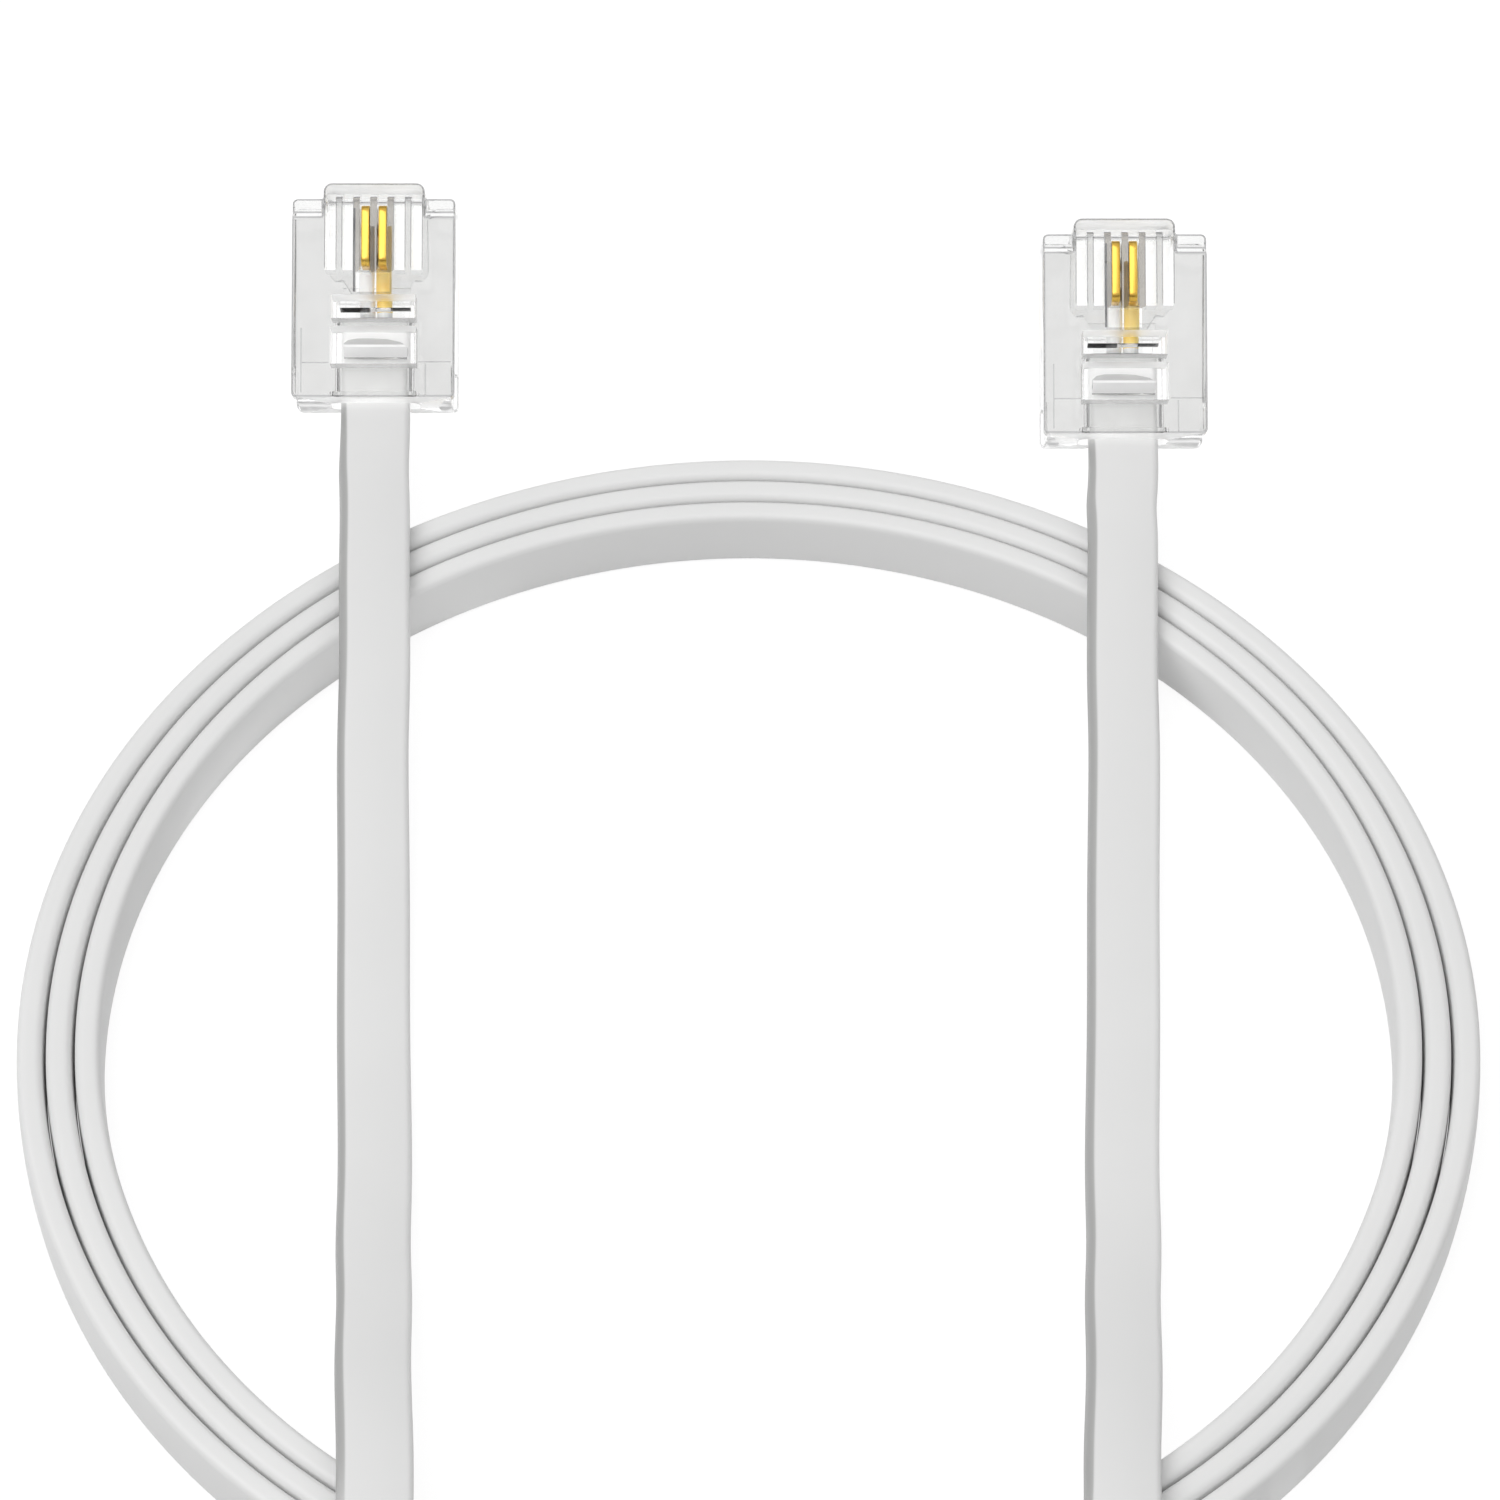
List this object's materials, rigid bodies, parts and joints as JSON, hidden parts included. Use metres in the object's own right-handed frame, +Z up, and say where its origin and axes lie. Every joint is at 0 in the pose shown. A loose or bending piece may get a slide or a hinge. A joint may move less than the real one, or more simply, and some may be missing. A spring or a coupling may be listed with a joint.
{
  "type": "modular patch cord",
  "caption": "Flat off-white two-core patch cord, coiled on edge, with a clear modular plug on each end: sprung latch, gold contact blades and crimped wires inside.",
  "frame": {"origin": "on the surface that the cord lies on, midway between the two plugs", "axes": "+Z up from that surface, +X from the left plug to the right one, +Y the way the plugs' noses point"},
  "size_m": [0.0855, 0.1214, 0.0152],
  "materials": {
    "cord": "satin PVC jacket",
    "clear_shell": "clear moulded polycarbonate",
    "clear_latch": "clear moulded polycarbonate",
    "clear_bar": "clear moulded polycarbonate",
    "gold": "gold plating over bronze",
    "wire_white": "smooth insulation",
    "wire_yellow": "smooth insulation",
    "copper": "copper tinsel"
  },
  "bodies": {
    "root": {"coil": "cord", "leg_a": "cord", "leg_b": "cord", "plug_a_housing": "clear_shell", "plug_a_contact_1": "gold", "plug_a_contact_2": "gold", "plug_a_jacket_bar": "clear_bar", "plug_a_wire_bar": "clear_bar", "plug_a_wire_white": "wire_white", "plug_a_wire_yellow": "wire_yellow", "plug_a_core_white": "copper", "plug_a_core_yellow": "copper", "plug_a_jacket_end": "cord", "plug_b_housing": "clear_shell", "plug_b_contact_1": "gold", "plug_b_contact_2": "gold", "plug_b_jacket_bar": "clear_bar", "plug_b_wire_bar": "clear_bar", "plug_b_wire_white": "wire_white", "plug_b_wire_yellow": "wire_yellow", "plug_b_core_white": "copper", "plug_b_core_yellow": "copper", "plug_b_jacket_end": "cord"},
    "latch_a": {"plug_a_latch": "clear_latch"},
    "latch_b": {"plug_b_latch": "clear_latch"}
  },
  "joints": [
    {"name": "latch_a_flex", "type": "hinge", "parent": "root", "child": "latch_a", "pos_m": [-0.0222, 0.00796, 0.00899], "axis": [-1, 0, 0], "range_deg": [0, 16], "stiffness_Nm_per_rad": 0.05},
    {"name": "latch_b_flex", "type": "hinge", "parent": "root", "child": "latch_b", "pos_m": [0.0222, 0.00516, 0.00899], "axis": [-1, 0, 0], "range_deg": [0, 16], "stiffness_Nm_per_rad": 0.05}
  ]
}
